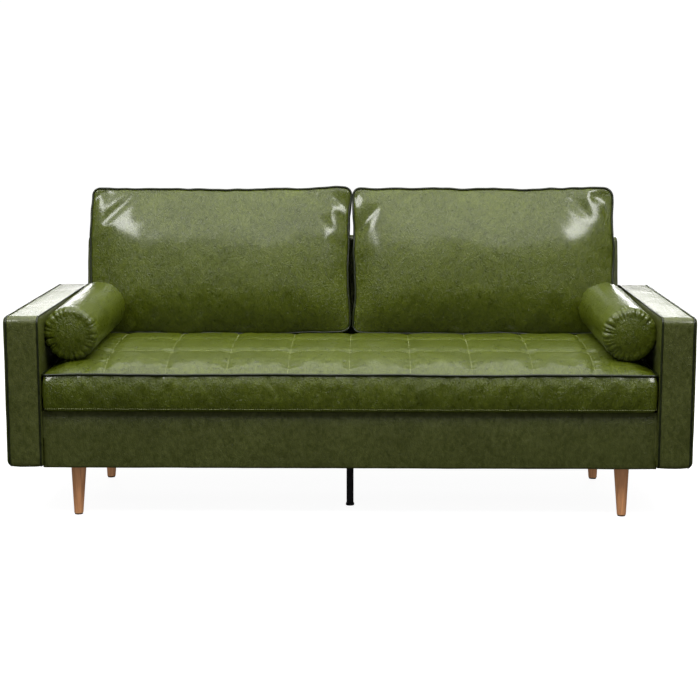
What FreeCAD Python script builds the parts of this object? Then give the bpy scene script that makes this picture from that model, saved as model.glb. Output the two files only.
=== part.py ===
"""A two-seat sofa on tapered wooden legs: frame, springs, covers, loose cushions and bolsters.

Millimetres, +Z up, +Y to the back. The origin is on the floor, under the middle of the sofa.
"""

import FreeCAD, Part
import Sketcher
import math
import os
import re

# ---------------------------------------------------------------- driving dimensions

DIMENSIONS = [
    ("sofa_width", 1850, "overall width, over both arms"),
    ("sofa_depth", 790, "overall depth, over the arms' piping"),
    ("underside", 158, "height of the covered body above the floor"),
    ("arm_width", 91, "width of an arm over its piping"),
    ("arm_height", 566, "top of an arm's piping"),
    ("arm_corner", 18, "radius of an arm's corners, seen from the side"),
    ("back_height", 719, "top of the fixed back"),
    ("back_top_depth", 85, "depth of the fixed back at its top"),
    ("back_corner", 12, "radius of the fixed back's top corners"),
    ("lean", 12, "lean of the back's front face, in degrees"),
    ("piping_radius", 3, "radius of the piping cord in its leather"),
    ("groove_radius", 3.3, "radius of the groove that the piping is sewn into"),
    ("cover_wall", 4, "leather and its felt backing"),
    ("leather", 3, "leather and its backing on the base"),
    ("padding", 8, "wadding over the arm and back frames"),
    ("play", 0.3, "a filling's clearance inside its cover"),
    ("board", 6, "plywood side panels of the arms"),
    ("arm_timber", 45, "height of an arm's rails, and depth of its posts"),
    ("rail_thickness", 30, "thickness of the seat frame's rails"),
    ("rail_top", 290, "top of the seat frame's rails"),
    ("deck_height", 303, "top of the deck that the seat cushion lies on"),
    ("deck_pad_thickness", 10, "felt over the springs"),
    ("deck_cloth", 2.5, "deck cover"),
    ("apron_setback", 25, "apron's front face behind the arms' front"),
    ("apron_lip", 30, "how far the apron's leather turns in, above and below"),
    ("apron_padding_thickness", 6, "wadding behind the apron's leather"),
    ("post_thickness", 25, "plywood posts of the back"),
    ("back_rail_height", 70, "height of the back's rails, along the lean"),
    ("spring_wire", 2, "radius of the spring wire"),
    ("spring_pitch", 48, "spacing of a spring's cross runs"),
    ("spring_drop", 14, "spring wire below the top of the rails"),
    ("leg_height", 156.5, "top of a leg, against its plate"),
    ("leg_top_radius", 22, "leg at its plate"),
    ("leg_foot_radius", 12.5, "leg at its glide"),
    ("leg_splay", 4, "sideways lean of a leg, foot against top"),
    ("glide_height", 4, "thickness of a leg's glide"),
    ("plate_thickness", 3, "steel leg plates"),
    ("block_height", 94, "height of the leg blocks"),
    ("seat_setback", 15, "seat cushion's front face behind the arms' front"),
    ("seat_depth", 597, "depth of the seat cushion"),
    ("seat_side_gap", 7.5, "arm's piping to the seat cushion's side face"),
    ("seat_front_height", 101, "height of the seat cushion's front band"),
    ("seat_crown", 44, "rise of the seat cushion's top above its piping"),
    ("seat_corner", 20, "radius of the seat cushion's corners, seen from above"),
    ("cushion_width", 779, "width of a back cushion between its side faces"),
    ("cushion_depth", 130, "thickness of a back cushion"),
    ("cushion_low", 128, "bottom of a back cushion, up the lean from the deck"),
    ("cushion_tall", 430.5, "height of a back cushion, along the lean"),
    ("cushion_corner", 30, "radius of a back cushion's corners"),
    ("cushion_clearance", 1.2, "fixed back to a back cushion's piping"),
    ("cushion_gap", 7, "between the two back cushions' side faces"),
    ("back_side_gap", 16, "arm's piping to the fixed back's side face"),
    ("bolster_radius", 70, "bolster"),
    ("bolster_length", 430, "bolster"),
    ("bolster_rise", 3.2, "slope of a bolster up to its back end, in degrees"),
    ("bolster_toe", 2, "turn of a bolster towards the middle, in degrees"),
    ("bolster_front", -325, "place of a bolster's front end, from the middle of the depth"),
    ("bolster_height", 507, "height of a bolster's axis at its front end"),
    ("bolster_rim", 12, "rounding of a bolster's ends"),
    ("bolster_fill_rim", 8, "rounding of the filling's ends"),
    ("bolt_radius", 4, "M8 bolts"),
    ("bolt_hole", 4.3, "radius of the holes for the bolts"),
    ("bolt_head_radius", 8, "bolt heads"),
    ("bolt_head_height", 6, "bolt heads"),
    ("bolt_reach", 43, "a bolt's end beyond the arm's inner face"),
    ("base_bolt_rise", 27, "bolts through the side rails, above the underside"),
    ("back_bolt_y", 358, "bolts through the back posts, from the middle of the depth"),
    ("low_rail_at", 15, "bottom rail of the back, up the lean from the deck"),
    ("high_rail_at", 340, "top rail of the back, up the lean from the deck"),
    ("strap_low", 20, "lower end of the back's webbing, up the lean"),
    ("strap_high", 405, "upper end of the back's webbing, up the lean"),
    ("strap_width", 60, "webbing of the back"),
    ("strap_thickness", 2, "webbing of the back"),
    ("rail_play", 0.2, "webbing to the back's rails"),
]
SPRINGS_PER_SIDE = 6
SPRING_RUNS = 15
STRAPS_PER_SIDE = 5
BASE_BOLTS_Y = (-200, 0, 250)
BACK_BOLTS_Z = (350, 480)

# places that are worked out from the driving dimensions
ARM_OUTER = "(sofa_width / 2 - piping_radius)"
ARM_INNER = "(sofa_width / 2 - arm_width + piping_radius)"
ARM_TOP = "(arm_height - piping_radius)"
ARM_END = "(sofa_depth / 2 - piping_radius)"
SEAT_HALF = f"({ARM_INNER} - 1)"
APRON_FRONT = "(apron_setback - sofa_depth / 2)"
RAIL_FRONT = f"({APRON_FRONT} + leather + apron_padding_thickness)"
RAIL_LOW = "(underside + leather)"
REAR_FACE = ARM_END
REAR_RAIL = f"({REAR_FACE} - leather)"
RAIL_INSIDE = f"({SEAT_HALF} - rail_thickness)"
BACK_FOOT = "(deck_height + 0.5)"
BETWEEN_ARMS_HALF = "(sofa_width / 2 - arm_width - 1)"
BACK_HALF = "(sofa_width / 2 - arm_width - back_side_gap)"
BACK_FOOT_Y = "(sofa_depth / 2 - back_top_depth - (back_height - deck_height) * tan(lean))"
SEAT_FRONT = "(seat_setback - sofa_depth / 2)"
SEAT_LOW = "(deck_height + 1)"
SEAT_PIPING = f"({SEAT_LOW} + seat_front_height)"
SEAT_SIDE = "(sofa_width / 2 - arm_width - seat_side_gap)"
FRONT_LEG = (750, -305)
REAR_LEG = (730, 135)
SIDES = {"left": -1, "right": 1}

doc = FreeCAD.newDocument("sofa")
dims = doc.addObject("Spreadsheet::Sheet", "Dims")
for row, (alias, number, note) in enumerate(DIMENSIONS, 1):
    dims.set(f"A{row}", alias)
    dims.set(f"B{row}", str(number))
    dims.set(f"C{row}", note)
    dims.setAlias(f"B{row}", alias)
doc.recompute()

ALIASES = {alias for alias, _, _ in DIMENSIONS}
subparts = []


# ---------------------------------------------------------------- helpers


def linked(formula):
    """A formula with each dimension written as a reference to the sheet."""
    words = re.compile(r"[a-z][a-z_]*")
    return words.sub(
        lambda word: "Dims." + word.group() if word.group() in ALIASES else word.group(),
        str(formula),
    )


def value(formula):
    """The formula's number, from the sheet."""
    return float(dims.evalExpression(linked(formula)))


def bind(thing, **formulas):
    for name, formula in formulas.items():
        thing.setExpression(name, linked(formula))


def place(thing, x=0, y=0, z=0):
    for axis, formula in zip("xyz", (x, y, z)):
        thing.setExpression(f"Placement.Base.{axis}", linked(formula))


def lean_back(thing, across, behind, up):
    """Places a thing on the back's leaning face: across it, behind it and up along it."""
    thing.Placement.Rotation = FreeCAD.Rotation(FreeCAD.Vector(-1, 0, 0), value("lean"))
    thing.setExpression("Placement.Rotation.Angle", linked("lean"))
    place(
        thing,
        across,
        f"{BACK_FOOT_Y} + ({behind}) * cos(lean) + ({up}) * sin(lean)",
        f"{BACK_FOOT} - ({behind}) * sin(lean) + ({up}) * cos(lean)",
    )


def node(thing, label=None):
    """Marks a thing as one of the sofa's sub-parts."""
    if label:
        thing.Label = label
    subparts.append(thing)
    return thing


def mirrored(low, high, side):
    """A span across the sofa, on the side asked for."""
    return (low, high) if side > 0 else (f"-({high})", f"-({low})")


def slab(name, x, y, z):
    """A rectangular block between three pairs of formulas."""
    box = doc.addObject("Part::Box", name)
    bind(
        box,
        Length=f"({x[1]}) - ({x[0]})",
        Width=f"({y[1]}) - ({y[0]})",
        Height=f"({z[1]}) - ({z[0]})",
    )
    place(box, x[0], y[0], z[0])
    return box


def leaning_slab(name, across, behind, up):
    """A rectangular block that lies along the back's leaning face."""
    box = slab(name, across, behind, up)
    lean_back(box, across[0], behind[0], up[0])
    return box


def cylinder(name, radius, height, at, along="z"):
    rod = doc.addObject("Part::Cylinder", name)
    bind(rod, Radius=radius, Height=height)
    if along == "x":
        rod.Placement.Rotation = FreeCAD.Rotation(FreeCAD.Vector(0, 1, 0), 90)
    place(rod, *at)
    return rod


def group(name, things):
    """Several separate solids in one compound."""
    compound = doc.addObject("Part::Compound", name)
    compound.Links = things
    return compound


def cut(name, base, tool):
    result = doc.addObject("Part::Cut", name)
    result.Base = base
    result.Tool = tool
    doc.recompute()
    if not 0 < result.Shape.Volume < base.Shape.Volume:
        raise RuntimeError(f"{name}: the cut took nothing away")
    return result


def body_plane(body, role):
    return next(f for f in body.Origin.OriginFeatures if f.Role == role)


def outline_sketch(body, role, corners):
    """A closed outline of straight lines, each corner held by two formulas."""
    sketch = body.newObject("Sketcher::SketchObject", body.Name + "_outline")
    sketch.AttachmentSupport = (body_plane(body, role), "")
    sketch.MapMode = "FlatFace"
    spots = [FreeCAD.Vector(value(a), value(b), 0) for a, b in corners]
    for here, there in zip(spots, spots[1:] + spots[:1]):
        sketch.addGeometry(Part.LineSegment(here, there), False)
    count = len(spots)
    for line in range(count):
        sketch.addConstraint(Sketcher.Constraint("Coincident", line, 2, (line + 1) % count, 1))
    for line, (across, up) in enumerate(corners):
        for kind, formula in (("DistanceX", across), ("DistanceY", up)):
            number = sketch.addConstraint(Sketcher.Constraint(kind, -1, 1, line, 1, value(formula)))
            sketch.setExpression(f"Constraints[{number}]", linked(formula))
    return sketch


def prism(name, role, corners, length):
    """A body of constant section, padded evenly both ways from the plane through its origin."""
    body = doc.addObject("PartDesign::Body", name)
    pad = body.newObject("PartDesign::Pad", name + "_pad")
    pad.Profile = outline_sketch(body, role, corners)
    pad.Midplane = True
    bind(pad, Length=length)
    doc.recompute()
    return body


def hollow(body, role, corners, length):
    """Takes a closed space of constant section out of the middle of a body."""
    before = body.Shape.Volume
    pocket = body.newObject("PartDesign::Pocket", body.Name + "_hollow")
    pocket.Profile = outline_sketch(body, role, corners)
    pocket.Midplane = True
    bind(pocket, Length=length)
    doc.recompute()
    if body.Shape.Volume >= before:
        raise RuntimeError(f"{body.Name}: the hollow took nothing away")


def round_edges(body, radius, axis, spots):
    """Rounds the edges that run along an axis through the spots, given by the other two axes."""
    doc.recompute()
    others = [i for i in range(3) if i != "xyz".index(axis)]
    places = [(value(a), value(b)) for a, b in spots]
    names = []
    for number, edge in enumerate(body.Tip.Shape.Edges, 1):
        if len(edge.Vertexes) != 2:
            continue
        ends = [vertex.Point for vertex in edge.Vertexes]
        for spot in places:
            if all(abs(end[i] - at) < 0.01 for end in ends for i, at in zip(others, spot)):
                names.append(f"Edge{number}")
    if len(names) < len(places):
        raise RuntimeError(f"{body.Name}: found {len(names)} of {len(places)} edges to round")
    fillet = body.newObject("PartDesign::Fillet", body.Name + "_rounding")
    fillet.Base = (fillet.BaseFeature, names)
    bind(fillet, Radius=radius)
    doc.recompute()


def rounded_shell(name, role, outer, inner, length, radius, axis, rounded):
    """A closed cover of even thickness, with a radius at the chosen corners of its outline."""
    body = prism(name, role, outer, length)
    hollow(body, role, inner, f"{length} - 2 * cover_wall")
    round_edges(body, f"{radius} - cover_wall", axis, [inner[i] for i in rounded])
    round_edges(body, radius, axis, [outer[i] for i in rounded])
    return body


def tube(path, radius):
    """A round cord along a path of lines and tangent arcs."""
    first = path.OrderedEdges[0]
    start = path.OrderedVertexes[0].Point
    direction = first.tangentAt(first.FirstParameter)
    ring = Part.Wire(Part.makeCircle(radius, start, direction))
    cord = path.makePipeShell([ring], True, False)
    if cord.Volume < 0:
        cord.reverse()
    expected = math.pi * radius**2 * path.Length
    if abs(cord.Volume - expected) > 0.01 * expected:
        raise RuntimeError("a cord's volume is not its section times its length")
    return cord


def rounded_path(corners, radius, closed):
    """Straight runs between corners, with a tangent arc at each inner corner."""
    count = len(corners)
    edges = []
    last = None
    if closed:
        last = corners[-1] + (corners[0] - corners[-1]) * 0.5
        first = last
    for i, corner in enumerate(corners):
        if not closed and i in (0, count - 1):
            if last is not None:
                edges.append(Part.makeLine(last, corner))
            last = corner
            continue
        before = (corners[i - 1] - corner).normalize()
        after = (corners[(i + 1) % count] - corner).normalize()
        enter = corner + before * radius
        leave = corner + after * radius
        middle = corner + (before + after) * radius * (1 - math.sqrt(0.5))
        edges.append(Part.makeLine(last, enter))
        edges.append(Part.Arc(enter, middle, leave).toShape())
        last = leave
    if closed:
        edges.append(Part.makeLine(last, first))
    return Part.Wire(edges)


def shape_feature(name, shape, placement=None):
    feature = doc.addObject("Part::Feature", name)
    feature.Shape = shape
    if placement:
        feature.Placement = placement
    return feature


def piping_and_groove(name, paths, placement=None):
    """The piping along the paths, and the wider cord that makes room for it in a cover."""
    cords = Part.makeCompound([tube(path, value("piping_radius")) for path in paths])
    room = Part.makeCompound([tube(path, value("groove_radius")) for path in paths])
    piping = node(shape_feature(name, cords, placement))
    return piping, shape_feature(name + "_groove", room, placement)


# ---------------------------------------------------------------- bolts through the frame


def bolt_places():
    """Where each bolt's shank starts, on the right-hand side: inside face, back and height."""
    for y in BASE_BOLTS_Y:
        yield value(RAIL_INSIDE), y, value("underside + base_bolt_rise")
    for z in BACK_BOLTS_Z:
        inside = value(f"{BACK_HALF} - cover_wall - post_thickness")
        yield inside, value("back_bolt_y"), z


def bolts_and_holes():
    end = value(f"{ARM_INNER} + bolt_reach")
    head_height = value("bolt_head_height")
    bolts, holes = [], []
    for side in SIDES.values():
        outwards = FreeCAD.Vector(side, 0, 0)
        for x, y, z in bolt_places():
            start = FreeCAD.Vector(side * x, y, z)
            shank = Part.makeCylinder(value("bolt_radius"), end - x, start, outwards)
            under = start - outwards * head_height
            head = Part.makeCylinder(value("bolt_head_radius"), head_height, under, outwards)
            bolts.append(shank.fuse(head).removeSplitter())
            holes.append(Part.makeCylinder(value("bolt_hole"), end - x + 1, start, outwards))
    node(shape_feature("frame_bolts", Part.makeCompound(bolts)))
    return shape_feature("bolt_holes", Part.makeCompound(holes))


BOLT_HOLES = bolts_and_holes()


# ---------------------------------------------------------------- legs and their fixings


def leg_spots():
    """Each leg's name and the middle of its top."""
    for end, (x, y) in (("front", FRONT_LEG), ("rear", REAR_LEG)):
        for name, side in SIDES.items():
            yield f"leg_{end}_{name}", side, side * x, y


def circle_sketch(body, label, height, radius, shift):
    sketch = body.newObject("Sketcher::SketchObject", label)
    sketch.AttachmentSupport = (body_plane(body, "XY_Plane"), "")
    sketch.MapMode = "FlatFace"
    sketch.setExpression("AttachmentOffset.Base.z", linked(height))
    centre = FreeCAD.Vector(value(shift), 0, 0)
    up = FreeCAD.Vector(0, 0, 1)
    sketch.addGeometry(Part.Circle(centre, up, value(radius)), False)
    size = sketch.addConstraint(Sketcher.Constraint("Radius", 0, value(radius)))
    sketch.setExpression(f"Constraints[{size}]", linked(radius))
    across = sketch.addConstraint(Sketcher.Constraint("DistanceX", -1, 1, 0, 3, value(shift)))
    sketch.setExpression(f"Constraints[{across}]", linked(shift))
    sketch.addConstraint(Sketcher.Constraint("PointOnObject", 0, 3, -1))
    return sketch


def leg(name, side, x, y, holes):
    """A tapered leg whose foot stands further out than its top."""
    body = doc.addObject("PartDesign::Body", name + "_turning")
    top = circle_sketch(body, name + "_top", "leg_height", "leg_top_radius", "0")
    foot = circle_sketch(
        body, name + "_foot", "glide_height", "leg_foot_radius", f"{side} * leg_splay"
    )
    taper = body.newObject("PartDesign::AdditiveLoft", name + "_taper")
    taper.Profile = top
    taper.Sections = [foot]
    taper.Ruled = True
    place(body, x, y, 0)
    doc.recompute()
    node(cut(name, body, holes), name)


def legs():
    glides, plates, bolts, blocks, holes = [], [], [], [], []
    for name, side, x, y in leg_spots():
        glides.append(
            cylinder(f"glide_{name}", "leg_foot_radius - 1.5", "glide_height",
                     (f"{x} + {side} * leg_splay", y, 0))
        )
        bolts.append(cylinder(f"bolt_{name}", "bolt_radius", 103, (x, y, 127)))
        holes.append(cylinder(f"hole_{name}", "bolt_hole", 105, (x, y, 126)))
        plates.append(
            slab(f"plate_{name}", (x - 25, x + 25), (y - 25, y + 25),
                 ("leg_height", "leg_height + plate_thickness"))
        )
        deep = (f"{RAIL_FRONT} + rail_thickness", y + 66) if y < 0 else (y - 45, y + 45)
        blocks.append(
            slab(f"block_{name}", mirrored(f"{RAIL_INSIDE} - 120", RAIL_INSIDE, side), deep,
                 (RAIL_LOW, f"{RAIL_LOW} + block_height"))
        )
    holes = group("leg_bolt_holes", holes)
    node(group("leg_glides", glides), "leg_glides")
    node(group("leg_bolts", bolts), "leg_bolts")
    node(cut("leg_plates", group("plate_blanks", plates), holes), "leg_plates")
    node(cut("leg_blocks", group("block_blanks", blocks), holes), "leg_blocks")
    for name, side, x, y in leg_spots():
        leg(name, side, x, y, holes)
    return holes


def support_leg():
    """A thin steel post with a foot and a flange, under the middle of the centre rail."""
    body = doc.addObject("PartDesign::Body", "support_leg")
    flange_low = "leg_height + plate_thickness - 4"
    flange_top = "leg_height + plate_thickness"
    outline = [
        ("0", "0"), ("12", "0"), ("12", "5"), ("10", "8"),
        ("10", flange_low), ("25", flange_low), ("25", flange_top), ("0", flange_top),
    ]
    turned = body.newObject("PartDesign::Revolution", "support_leg_turning")
    turned.Profile = outline_sketch(body, "XZ_Plane", outline)
    turned.ReferenceAxis = (body_plane(body, "Z_Axis"), "")
    turned.Angle = 360
    place(body, 0, -195, 0)
    node(body)


LEG_HOLES = legs()
support_leg()


# ---------------------------------------------------------------- seat frame, springs and deck


def seat_frame():
    tall = (RAIL_LOW, "rail_top")
    long_way = (f"{RAIL_FRONT} + rail_thickness", f"{REAR_RAIL} - rail_thickness")
    full = (f"-{SEAT_HALF}", SEAT_HALF)
    node(slab("front_rail", full, (RAIL_FRONT, f"{RAIL_FRONT} + rail_thickness"), tall))
    node(slab("rear_rail", full, (f"{REAR_RAIL} - rail_thickness", REAR_RAIL), tall))
    node(slab("centre_rail", ("-rail_thickness / 2", "rail_thickness / 2"), long_way, tall))
    for name, side in SIDES.items():
        blank = slab(f"side_rail_{name}_blank", mirrored(RAIL_INSIDE, SEAT_HALF, side),
                     long_way, tall)
        node(cut(f"side_rail_{name}", blank, BOLT_HOLES))


def spring_positions():
    for side in SIDES.values():
        for i in range(SPRINGS_PER_SIDE):
            yield side * (85 + 130 * i)


def springs_and_clips():
    """Sinuous springs from the front rail to the rear rail, each held by two clips."""
    pitch = value("spring_pitch")
    half_run = 12
    height = value("rail_top - spring_drop")
    first = value(f"{RAIL_FRONT} + rail_thickness + 7")
    edges = []
    for i in range(SPRING_RUNS):
        y = first + i * pitch
        way = 1 if i % 2 == 0 else -1
        start = FreeCAD.Vector(-way * half_run, y, height)
        end = FreeCAD.Vector(way * half_run, y, height)
        edges.append(Part.makeLine(start, end))
        if i < SPRING_RUNS - 1:
            bulge = FreeCAD.Vector(way * (half_run + pitch / 2), y + pitch / 2, height)
            turn = FreeCAD.Vector(way * half_run, y + pitch, height)
            edges.append(Part.Arc(end, bulge, turn).toShape())
    spring = tube(Part.Wire(edges), value("spring_wire"))
    wire_hole = value("spring_wire") + 0.2
    springs, clips = [], []
    for x in spring_positions():
        springs.append(spring.translated(FreeCAD.Vector(x, 0, 0)))
        for y in (first, first + (SPRING_RUNS - 1) * pitch):
            clip = Part.makeBox(20, 14, 10, FreeCAD.Vector(x - 10, y - 7, height - 5))
            hole_start = FreeCAD.Vector(x - 11, y, height)
            hole = Part.makeCylinder(wire_hole, 22, hole_start, FreeCAD.Vector(1, 0, 0))
            clips.append(clip.cut(hole))
    node(shape_feature("seat_springs", Part.makeCompound(springs)))
    node(shape_feature("spring_clips", Part.makeCompound(clips)))


def deck_and_base_covers():
    full = (f"-{SEAT_HALF}", SEAT_HALF)
    pad_top = "rail_top + deck_pad_thickness"
    lip_end = f"{APRON_FRONT} + apron_lip"
    node(slab("deck_pad", full, (RAIL_FRONT, REAR_RAIL), ("rail_top", pad_top)))
    node(slab("deck_cover", full, (f"{lip_end} + 0.5", REAR_RAIL),
              (pad_top, f"{pad_top} + deck_cloth")))
    node(slab("apron_padding", full, (f"{APRON_FRONT} + leather", RAIL_FRONT),
              (RAIL_LOW, pad_top)))
    apron = [
        (APRON_FRONT, "underside"), (lip_end, "underside"), (lip_end, RAIL_LOW),
        (f"{APRON_FRONT} + leather", RAIL_LOW), (f"{APRON_FRONT} + leather", pad_top),
        (lip_end, pad_top), (lip_end, "deck_height"), (APRON_FRONT, "deck_height"),
    ]
    node(prism("apron_cover", "YZ_Plane", apron, f"2 * {SEAT_HALF}"))
    between_arms = (f"-{BETWEEN_ARMS_HALF}", BETWEEN_ARMS_HALF)
    node(slab("outside_back_cover", between_arms, (REAR_RAIL, REAR_FACE),
              ("underside", "deck_height")))
    sheet = slab("dust_cover_blank", full, (f"{lip_end} + 0.5", REAR_RAIL),
                 ("leg_height + plate_thickness", RAIL_LOW))
    node(cut("dust_cover", sheet, LEG_HOLES))


seat_frame()
springs_and_clips()
deck_and_base_covers()


# ---------------------------------------------------------------- arms


def arm_outline(inset, low):
    """An arm's side view, pulled in at the front, top and back."""
    front, back = f"-{ARM_END} + {inset}", f"{ARM_END} - {inset}"
    top = f"{ARM_TOP} - {inset}"
    return [(front, low), (back, low), (back, top), (front, top)]


def arm(name, side):
    middle = f"{side} * ({ARM_OUTER} + {ARM_INNER}) / 2"
    width = f"({ARM_OUTER} - {ARM_INNER})"
    outer = arm_outline("0", "underside")
    inner = arm_outline("cover_wall", "underside + cover_wall")
    core = arm_outline("(cover_wall + padding)", "underside + cover_wall")

    shell = rounded_shell(
        f"arm_shell_{name}", "YZ_Plane", outer, inner, width, "arm_corner", "x", (2, 3)
    )
    place(shell, middle)
    paths = []
    for x in (ARM_INNER, ARM_OUTER):
        corners = [outer[0], outer[3], outer[2], outer[1]]
        spots = [FreeCAD.Vector(side * value(x), value(y), value(z)) for y, z in corners]
        paths.append(rounded_path(spots, value("arm_corner"), closed=False))
    _, groove = piping_and_groove(f"arm_piping_{name}", paths)
    grooved = cut(f"arm_grooved_{name}", shell, groove)
    node(cut(f"arm_cover_{name}", grooved, BOLT_HOLES))

    wadding = prism(f"arm_wadding_{name}", "YZ_Plane", inner, f"{width} - 2 * cover_wall")
    hollow(wadding, "YZ_Plane", core, f"{width} - 2 * (cover_wall + padding)")
    round_edges(wadding, "arm_corner - cover_wall", "x", inner[2:])
    place(wadding, middle)
    node(cut(f"arm_padding_{name}", wadding, BOLT_HOLES))

    # the timber frame fills the padding: two boards with rails and posts between them
    near, far = f"{ARM_INNER} + cover_wall + padding", f"{ARM_OUTER} - cover_wall - padding"
    front, back = core[0][0], core[1][0]
    low, top = core[0][1], core[2][1]
    boards = [
        slab(f"board_inner_{name}", mirrored(near, f"{near} + board", side),
             (front, back), (low, top)),
        slab(f"board_outer_{name}", mirrored(f"{far} - board", far, side),
             (front, back), (low, top)),
    ]
    node(cut(f"arm_boards_{name}", group(f"boards_{name}", boards), BOLT_HOLES))
    between = mirrored(f"{near} + board", f"{far} - board", side)
    above, below = f"{low} + arm_timber", f"{top} - arm_timber"
    bottom = slab(f"arm_bottom_blank_{name}", between, (front, back), (low, above))
    node(cut(f"arm_bottom_rail_{name}", bottom, BOLT_HOLES))
    node(slab(f"arm_top_rail_{name}", between, (front, back), (below, top)))
    node(slab(f"arm_front_post_{name}", between, (front, f"{front} + arm_timber"),
              (above, below)))
    rear = slab(f"arm_rear_blank_{name}", between, (f"{back} - arm_timber", back),
                (above, below))
    node(cut(f"arm_rear_post_{name}", rear, BOLT_HOLES))


for side_name, side_sign in SIDES.items():
    arm(side_name, side_sign)


# ---------------------------------------------------------------- fixed back


def back_outline(inset, low_inset):
    """The back's side view: upright behind, leaning in front, pulled in all round."""
    low, top = f"{BACK_FOOT} + {low_inset}", f"back_height - {inset}"
    face = f"{BACK_FOOT_Y} + {inset} / cos(lean)"
    rear = f"{REAR_FACE} - {inset}"
    return [
        (rear, low),
        (rear, top),
        (f"{face} + ({top} - {BACK_FOOT}) * tan(lean)", top),
        (f"{face} + {low_inset} * tan(lean)", low),
    ]


def fixed_back():
    width = f"2 * {BACK_HALF}"
    inside = f"(2 * ({BACK_HALF} - cover_wall))"
    outer = back_outline("0", "0")
    inner = back_outline("cover_wall", "cover_wall")
    core = back_outline("(cover_wall + padding)", "cover_wall")

    shell = rounded_shell(
        "back_shell", "YZ_Plane", outer, inner, width, "back_corner", "x", (1, 2)
    )
    node(cut("back_cover", shell, BOLT_HOLES))

    wadding = prism("back_padding", "YZ_Plane", inner, inside)
    hollow(wadding, "YZ_Plane", core, inside)
    round_edges(wadding, "back_corner - cover_wall", "x", inner[1:3])
    node(wadding)

    span = (f"-({BACK_HALF} - cover_wall)", f"{BACK_HALF} - cover_wall")
    rail_face = "cover_wall + padding + strap_thickness + rail_play"
    behind = (rail_face, f"{rail_face} + rail_thickness")
    lower = leaning_slab("back_bottom_rail", span, behind,
                         ("low_rail_at", "low_rail_at + back_rail_height"))
    upper = leaning_slab("back_top_rail", span, behind,
                         ("high_rail_at", "high_rail_at + back_rail_height"))
    node(lower)
    node(upper)

    notches = group("post_notches", [lower, upper])
    offset = f"({BACK_HALF} - cover_wall - post_thickness / 2)"
    for name, side in {**SIDES, "centre": 0}.items():
        blank = prism(f"back_post_blank_{name}", "YZ_Plane", core, "post_thickness")
        place(blank, f"{side} * {offset}")
        post = cut(f"back_post_notched_{name}", blank, notches)
        if side:
            post = cut(f"back_post_drilled_{name}", post, BOLT_HOLES)
        node(post, f"back_post_{name}")

    straps = []
    room = value(f"{offset} - post_thickness")
    half_strap = value("strap_width / 2")
    for side in SIDES.values():
        for i in range(STRAPS_PER_SIDE):
            middle = side * room * (i + 0.5) / STRAPS_PER_SIDE
            straps.append(
                leaning_slab(f"strap_{side + 1}_{i}", (middle - half_strap, middle + half_strap),
                             ("cover_wall + padding", "cover_wall + padding + strap_thickness"),
                             ("strap_low", "strap_high"))
            )
    node(group("back_webbing", straps), "back_webbing")


fixed_back()


# ---------------------------------------------------------------- seat cushion


def seat_outline(inset):
    """The seat cushion's side view: a flat front band and a crowned top."""
    low, band = f"{SEAT_LOW} + {inset}", f"{SEAT_PIPING} - 1.25 * {inset}"
    rise = [(0, 0), (0.137, 0.57), (0.276, 0.82), (0.556, 1), (0.81, 0.87), (0.955, 0.57)]
    top = [
        (f"{SEAT_FRONT} + {inset} + {along} * (seat_depth - 2 * {inset})",
         f"{band} + {up} * seat_crown")
        for along, up in rise
    ]
    rear = f"{SEAT_FRONT} + seat_depth - {inset}"
    rear_top = (rear, f"{band} + 0.18 * seat_crown")
    return [(f"{SEAT_FRONT} + {inset}", low), (rear, low), rear_top] + top[::-1]


def seat_block(name, inset):
    """The cushion, or what fills it, with rounded corners seen from above."""
    body = prism(name, "YZ_Plane", seat_outline(inset), f"2 * ({SEAT_SIDE} - {inset})")
    side = f"{SEAT_SIDE} - {inset}"
    ends = (f"{SEAT_FRONT} + {inset}", f"{SEAT_FRONT} + seat_depth - {inset}")
    corners = [(f"{sign} * ({side})", end) for sign in (-1, 1) for end in ends]
    round_edges(body, f"seat_corner - {inset}", "z", corners)
    return body


def seat_cushion():
    front, rear = value(SEAT_FRONT), value(f"{SEAT_FRONT} + seat_depth")
    side, height = value(SEAT_SIDE), value(SEAT_PIPING)
    spots = [(-side, front), (side, front), (side, rear), (-side, rear)]
    corners = [FreeCAD.Vector(x, y, height) for x, y in spots]
    path = rounded_path(corners, value("seat_corner"), closed=True)
    _, groove = piping_and_groove("seat_cushion_piping", [path])
    grooved = cut("seat_cushion_grooved", seat_block("seat_cushion_block", "0"), groove)
    space = seat_block("seat_cushion_space", "cover_wall")
    node(cut("seat_cushion_cover", grooved, space))
    node(seat_block("seat_cushion_foam", "(cover_wall + play)"))


seat_cushion()


# ---------------------------------------------------------------- back cushions


def cushion_outline(inset):
    across = f"(cushion_width / 2 - {inset})"
    up = f"(cushion_tall / 2 - {inset})"
    return [(f"-{across}", f"-{up}"), (across, f"-{up}"), (across, up), (f"-{across}", up)]


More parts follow.
